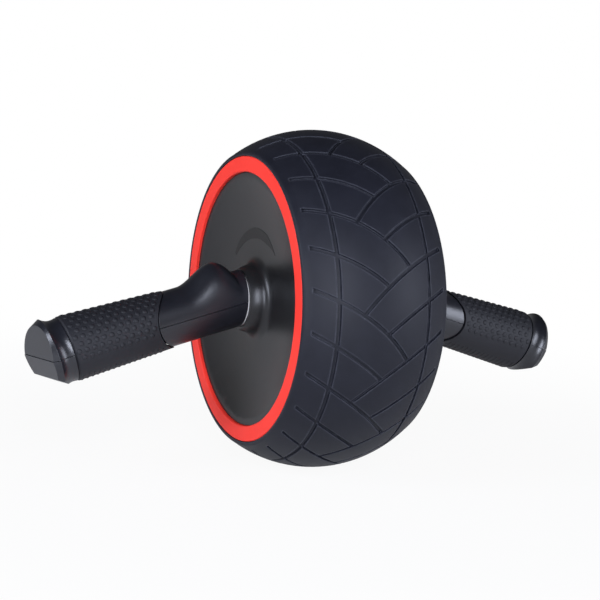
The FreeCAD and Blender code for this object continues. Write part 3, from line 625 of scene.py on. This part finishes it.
def make_dot_tree():
    """Flat round dots in staggered rows, one dot instanced over the top and sides of the sleeve."""
    tree, nodes, start, end = geometry_tree("grip dots", DOT_INPUTS)
    value = start.outputs
    index = nodes.add("GeometryNodeInputIndex").outputs[0]
    column = nodes.math("MODULO", index, value["Columns"])
    row = nodes.math("FLOOR", nodes.math("DIVIDE", index, value["Columns"]))
    stagger = nodes.math("MULTIPLY", nodes.math("MODULO", row, 2.0), 0.5)
    along = nodes.math("MULTIPLY", nodes.math("ADD", column, stagger), value["Pitch"])
    along = nodes.math("ADD", along, value["Start"])
    share = nodes.math("DIVIDE", row, nodes.math("SUBTRACT", value["Rows"], 1.0))
    turn = nodes.math("SUBTRACT", nodes.math("MULTIPLY", share, 2.0), 1.0)
    angle = nodes.math("MULTIPLY", turn, value["Spread"])
    radius = cone_radius(nodes, along, value)
    sideways = nodes.math("SINE", angle)
    upward = nodes.math("COSINE", angle)
    height = nodes.math("MULTIPLY", upward, radius)
    points = nodes.add("GeometryNodePoints")
    nodes.feed(points.inputs["Count"], nodes.math("MULTIPLY", value["Columns"], value["Rows"]))
    place = nodes.combine(along, nodes.math("MULTIPLY", sideways, radius), height)
    nodes.feed(points.inputs["Position"], place)
    dot = nodes.add("GeometryNodeMeshUVSphere")
    dot.inputs["Segments"].default_value = DOT_SEGMENTS
    dot.inputs["Rings"].default_value = DOT_RINGS
    nodes.feed(dot.inputs["Radius"], value["Dot Radius"])
    flat = nodes.add("GeometryNodeTransform")
    nodes.feed(flat.inputs["Geometry"], dot.outputs["Mesh"])
    nodes.feed(flat.inputs["Scale"], nodes.combine(1.0, 1.0, value["Dot Rise"]))
    aim = nodes.add("FunctionNodeAlignRotationToVector", axis="Z")
    nodes.feed(aim.inputs["Vector"], nodes.combine(0.0, sideways, upward))
    spread = nodes.add("GeometryNodeInstanceOnPoints")
    nodes.feed(spread.inputs["Points"], points.outputs[0])
    nodes.feed(spread.inputs["Instance"], flat.outputs[0])
    nodes.feed(spread.inputs["Selection"], sleeve_room(nodes, along, height, value))
    nodes.feed(spread.inputs["Rotation"], aim.outputs[0])
    finish_tree(nodes, spread.outputs[0], value["Finish"], end)
    return tree


def make_rib_tree():
    """Fine ribs across the underside of the sleeve, one arc instanced along the handle."""
    tree, nodes, start, end = geometry_tree("grip ribs", RIB_INPUTS)
    value = start.outputs
    index = nodes.add("GeometryNodeInputIndex").outputs[0]
    along = nodes.math("ADD", value["Start"], nodes.math("MULTIPLY", index, value["Pitch"]))
    radius = cone_radius(nodes, along, value)
    points = nodes.add("GeometryNodePoints")
    nodes.feed(points.inputs["Count"], value["Ribs"])
    nodes.feed(points.inputs["Position"], nodes.combine(along))
    ends = nodes.math("COSINE", nodes.math("MULTIPLY", value["Sweep"], 0.5))
    low = nodes.math("MULTIPLY", nodes.math("MULTIPLY", radius, ends), -1.0)
    arc = nodes.add("GeometryNodeCurveArc")
    arc.inputs["Resolution"].default_value = RIB_STEPS
    nodes.feed(arc.inputs["Radius"], nodes.math("SUBTRACT", value["Inner Radius"], value["Sink"]))
    nodes.feed(arc.inputs["Start Angle"], nodes.math("MULTIPLY", value["Sweep"], -0.5))
    nodes.feed(arc.inputs["Sweep Angle"], value["Sweep"])
    profile = nodes.add("GeometryNodeCurvePrimitiveCircle")
    profile.inputs["Resolution"].default_value = RIB_SIDES
    nodes.feed(profile.inputs["Radius"], value["Rib Radius"])
    bar = nodes.add("GeometryNodeCurveToMesh")
    nodes.feed(bar.inputs["Curve"], arc.outputs["Curve"])
    nodes.feed(bar.inputs["Profile Curve"], profile.outputs["Curve"])
    nodes.feed(bar.inputs["Fill Caps"], True)
    under = nodes.add("GeometryNodeTransform")
    nodes.feed(under.inputs["Geometry"], bar.outputs["Mesh"])
    nodes.feed(under.inputs["Rotation"], (0, math.pi / 2, 0))
    growth = nodes.math("DIVIDE", radius, value["Inner Radius"])
    spread = nodes.add("GeometryNodeInstanceOnPoints")
    nodes.feed(spread.inputs["Points"], points.outputs[0])
    nodes.feed(spread.inputs["Instance"], under.outputs[0])
    nodes.feed(spread.inputs["Selection"], sleeve_room(nodes, along, low, value))
    nodes.feed(spread.inputs["Scale"], nodes.combine(1.0, growth, growth))
    finish_tree(nodes, spread.outputs[0], value["Finish"], end)
    return tree


def add_grip_relief():
    """Dots and ribs of both grips."""
    for name, inputs, tree in (
        ("grip_dots_", DOT_INPUTS, make_dot_tree()),
        ("grip_ribs_", RIB_INPUTS, make_rib_tree()),
    ):
        for side in SIDES:
            mesh = grown(name + side, tree, inputs)
            mesh.transform(handle_matrix(side))
            add_piece(name + side, mesh, "handlebar")


def closed_mesh(name, points, faces):
    """Mesh of a closed surface with its normals turned outward."""
    mesh = bpy.data.meshes.new(name)
    mesh.from_pydata(points, [], faces)
    shape = bmesh.new()
    shape.from_mesh(mesh)
    bmesh.ops.recalc_face_normals(shape, faces=shape.faces)
    shape.to_mesh(mesh)
    shape.free()
    return mesh


# Tongue inside the seam of each end cap, in the cap's own x and forward y, in millimetres from its start
SEAM_TONGUE = (
    (1.5, -15), (6, -18.4), (9, -20.3), (19.1, -15.2), (12.4, 18.7), (9, 20.3), (6, 18.4), (1.5, 15),
)
SEAM_TONGUE_HALF = 0.11 * MM
CAP_START = 108.1 * MM


def add_seam_tongues():
    """A thin dark plate that keeps light from passing between the two halves of a cap."""
    count = len(SEAM_TONGUE)
    for side in SIDES:
        forward = 1 if side == "left" else -1
        points = []
        for level in (-SEAM_TONGUE_HALF, SEAM_TONGUE_HALF):
            points += [(CAP_START + x * MM, forward * y * MM, level) for x, y in SEAM_TONGUE]
        faces = [tuple(range(count)), tuple(range(count, 2 * count))]
        for index in range(count):
            following = (index + 1) % count
            faces.append((index, following, following + count, index + count))
        mesh = closed_mesh("seam_tongue_" + side, points, faces)
        mesh.transform(handle_matrix(side))
        mesh.materials.append(FINISHES["handle_plastic"])
        add_piece("seam_tongue_" + side, mesh, "handlebar")


# Curved arrow above the hub on both covers, which shows the way the wheel rolls out
ARROW_RADIUS = 38.5 * MM
ARROW_TAIL = math.radians(-54)
ARROW_TIP = math.radians(42)
ARROW_STEPS = 60
ARROW_RISE = 0.12 * MM
ARROW_SINK = 0.3 * MM
ARROW_EDGE = 0.3 * MM
ARROW_LEAST_FLAT = 0.1 * MM

# Half width along the arrow: share of its length and millimetres, from tail to tip
ARROW_WIDTHS = ((0, 1.2), (0.15, 2.4), (0.5, 3.5), (0.76, 3.2), (1, 0.35))


def dish_place(radius):
    """Place along the axle of the dished face at a radius from the axle."""
    return DISH_FLOOR + DISH_ROUND - math.sqrt(DISH_ROUND ** 2 - (radius - DISH_FLOOR_RADIUS) ** 2)


def arrow_half_width(share):
    """Half the arrow's width at a share of its length."""
    for (before, low), (after, high) in zip(ARROW_WIDTHS, ARROW_WIDTHS[1:]):
        if share <= after:
            return (low + (high - low) * (share - before) / (after - before)) * MM


def arrow_section(share):
    """Offsets across the arrow and their rise over the dish, from one sunk edge to the other."""
    half = arrow_half_width(share)
    flat = max(half - ARROW_EDGE, ARROW_LEAST_FLAT)
    return (
        (-half, -ARROW_SINK), (-flat, ARROW_RISE), (0, ARROW_RISE), (flat, ARROW_RISE), (half, -ARROW_SINK),
    )


def add_arrows():
    """A shallow inlay on the dish with bevelled edges, its tip forward."""
    across = len(arrow_section(0))
    for side in SIDES:
        outward = -1 if side == "left" else 1
        points = []
        for step in range(ARROW_STEPS + 1):
            share = step / ARROW_STEPS
            angle = ARROW_TAIL + share * (ARROW_TIP - ARROW_TAIL)
            for offset, rise in arrow_section(share):
                radius = ARROW_RADIUS + offset
                place = outward * (dish_place(radius) + rise)
                points.append((place, -radius * math.sin(angle), radius * math.cos(angle)))
        faces = []
        for step in range(ARROW_STEPS):
            for row in range(across):
                first = step * across + row
                second = step * across + (row + 1) % across
                faces.append((first, second, second + across, first + across))
        faces.append(tuple(range(across)))
        faces.append(tuple(range(ARROW_STEPS * across, (ARROW_STEPS + 1) * across)))
        mesh = closed_mesh("turn_arrow_" + side, points, faces)
        mesh.materials.append(FINISHES["cover_mark"])
        add_piece("turn_arrow_" + side, mesh, "wheel")


# Stage: floor, sky, lamps and camera

# Floor: its look, its reach in metres, its share in reflections, and how it fades to white with distance
FLOOR_COLOUR = (0.86, 0.86, 0.86, 1)
FLOOR_ROUGHNESS = 0.8
FLOOR_REACH = 6.0
FLOOR_GLOSSY_SHARE = 0.35
FLOOR_FADE = {"From Min": 0.15, "From Max": 0.6, "To Min": 0.93, "To Max": 1.0}

# Sky: strength from the horizon up, for the rays that the camera doesn't see
SKY_FADE = {"From Min": 0.0, "From Max": 0.75, "To Min": 0.22, "To Max": 0.04}

# Soft boxes aimed at the wheel's centre: place in metres, width, height and watts
LAMP_COLOUR = (0.80, 0.85, 1.0)
LAMPS = {
    "right soft box": ((1.2, -1.1, 0.35), 0.7, 1.0, 16),
    "front soft box": ((-0.5, -1.45, 0.35), 0.45, 1.3, 25),
    "left soft box": ((-1.6, -0.3, 0.6), 0.6, 1.0, 22),
}

# Camera fitted to the photograph: angles in degrees, distance and aim in metres, sensor in millimetres
CAMERA_AZIMUTH = -26.14
CAMERA_ELEVATION = 8.03
CAMERA_ROLL = 3.49
CAMERA_DISTANCE = 0.8787
CAMERA_AIM = Vector((-5.81 * MM, 0, -0.94 * MM))
CAMERA_SENSOR = 36
CAMERA_FOCAL_SHARE = 1472.7 / 600


def camera_rays(tree):
    """The light path node, and a mask of the rays that the camera sees."""
    rays = tree.add("ShaderNodeLightPath")
    return rays, tree.math("MAXIMUM", rays.outputs["Is Camera Ray"], rays.outputs["Is Transmission Ray"])


def make_floor():
    """Pale floor that keeps the object's shadow and turns white away from it."""
    material, tree, shader = new_finish("pale floor")
    shader.inputs["Base Color"].default_value = FLOOR_COLOUR
    shader.inputs["Roughness"].default_value = FLOOR_ROUGHNESS
    glow = tree.add("ShaderNodeEmission")
    glow.inputs["Strength"].default_value = 1.0
    rays, seen = camera_rays(tree)
    mirrored = tree.math("MULTIPLY", rays.outputs["Is Glossy Ray"], FLOOR_GLOSSY_SHARE)
    seen = tree.math("MAXIMUM", seen, mirrored)
    away = tree.add("ShaderNodeVectorMath", operation="LENGTH")
    tree.feed(away.inputs[0], tree.add("ShaderNodeTexCoord").outputs["Object"])
    seen = tree.math("MULTIPLY", seen, tree.fade(away.outputs["Value"], FLOOR_FADE))
    mix = tree.add("ShaderNodeMixShader")
    tree.feed(mix.inputs[0], seen)
    tree.feed(mix.inputs[1], shader.outputs[0])
    tree.feed(mix.inputs[2], glow.outputs[0])
    tree.feed(material.node_tree.nodes["Material Output"].inputs["Surface"], mix.outputs[0])
    mesh = bpy.data.meshes.new("floor")
    level = cad_box[0].z
    corners = ((-1, -1), (1, -1), (1, 1), (-1, 1))
    mesh.from_pydata([(x * FLOOR_REACH, y * FLOOR_REACH, level) for x, y in corners], [], [(0, 1, 2, 3)])
    mesh.materials.append(material)
    floor = bpy.data.objects.new("floor", mesh)
    scene.collection.objects.link(floor)


def make_sky():
    """White for the camera, a dim sky for the object."""
    world = bpy.data.worlds.new("studio")
    scene.world = world
    world.use_nodes = True
    tree = Tree(world.node_tree)
    shade = world.node_tree.nodes["Background"]
    shade.inputs["Color"].default_value = (1, 1, 1, 1)
    seen = camera_rays(tree)[1]
    direction = tree.add("ShaderNodeSeparateXYZ")
    tree.feed(direction.inputs[0], tree.add("ShaderNodeTexCoord").outputs["Generated"])
    dim = tree.fade(direction.outputs["Z"], SKY_FADE)
    tree.feed(shade.inputs["Strength"], tree.math("MAXIMUM", seen, dim))


def make_lamps():
    """Soft boxes to the right, in front and to the left."""
    for name, (place, width, height, watts) in LAMPS.items():
        data = bpy.data.lights.new(name, "AREA")
        data.shape = "RECTANGLE"
        data.size = width
        data.size_y = height
        data.energy = watts
        data.color = LAMP_COLOUR
        lamp = bpy.data.objects.new(name, data)
        lamp.location = place
        lamp.rotation_euler = (-Vector(place)).to_track_quat("-Z", "Y").to_euler()
        scene.collection.objects.link(lamp)


def make_camera():
    """Camera on a circle round the wheel, aimed near its centre and rolled a little."""
    azimuth = math.radians(CAMERA_AZIMUTH)
    elevation = math.radians(CAMERA_ELEVATION)
    level = math.cos(elevation)
    back = Vector((math.sin(azimuth) * level, -math.cos(azimuth) * level, math.sin(elevation)))
    place = back * CAMERA_DISTANCE
    away = (place - CAMERA_AIM).normalized()
    right = Vector((0, 0, 1)).cross(away).normalized()
    up = away.cross(right)
    roll = math.radians(CAMERA_ROLL)
    across = right * math.cos(roll) + up * math.sin(roll)
    upright = up * math.cos(roll) - right * math.sin(roll)
    data = bpy.data.cameras.new("camera")
    data.sensor_width = CAMERA_SENSOR
    data.lens = CAMERA_SENSOR * CAMERA_FOCAL_SHARE
    camera = bpy.data.objects.new("camera", data)
    turn = Matrix((across, upright, away)).transposed().to_4x4()
    camera.matrix_world = Matrix.Translation(place) @ turn
    scene.collection.objects.link(camera)
    scene.camera = camera


WHEEL_SHELLS = {
    "tyre": "tyre_rubber",
    "trim_ring_left": "ring_red",
    "trim_ring_right": "ring_red",
    "side_cover_left": "cover_plastic",
    "side_cover_right": "cover_plastic",
}
HANDLE_SHELLS = {
    "handle_upper_left": "handle_plastic",
    "handle_upper_right": "handle_plastic",
    "handle_lower_left": "handle_plastic",
    "handle_lower_right": "handle_plastic",
    "thrust_washer_left": "bush_nylon",
    "thrust_washer_right": "bush_nylon",
}

dress_nodes()
add_shells("wheel", WHEEL_SHELLS)
add_shells("handlebar", HANDLE_SHELLS)
add_grips()
add_spring()
add_grip_relief()
add_seam_tongues()
add_arrows()
make_floor()
make_sky()
make_lamps()
make_camera()
scene.view_settings.view_transform = "Standard"
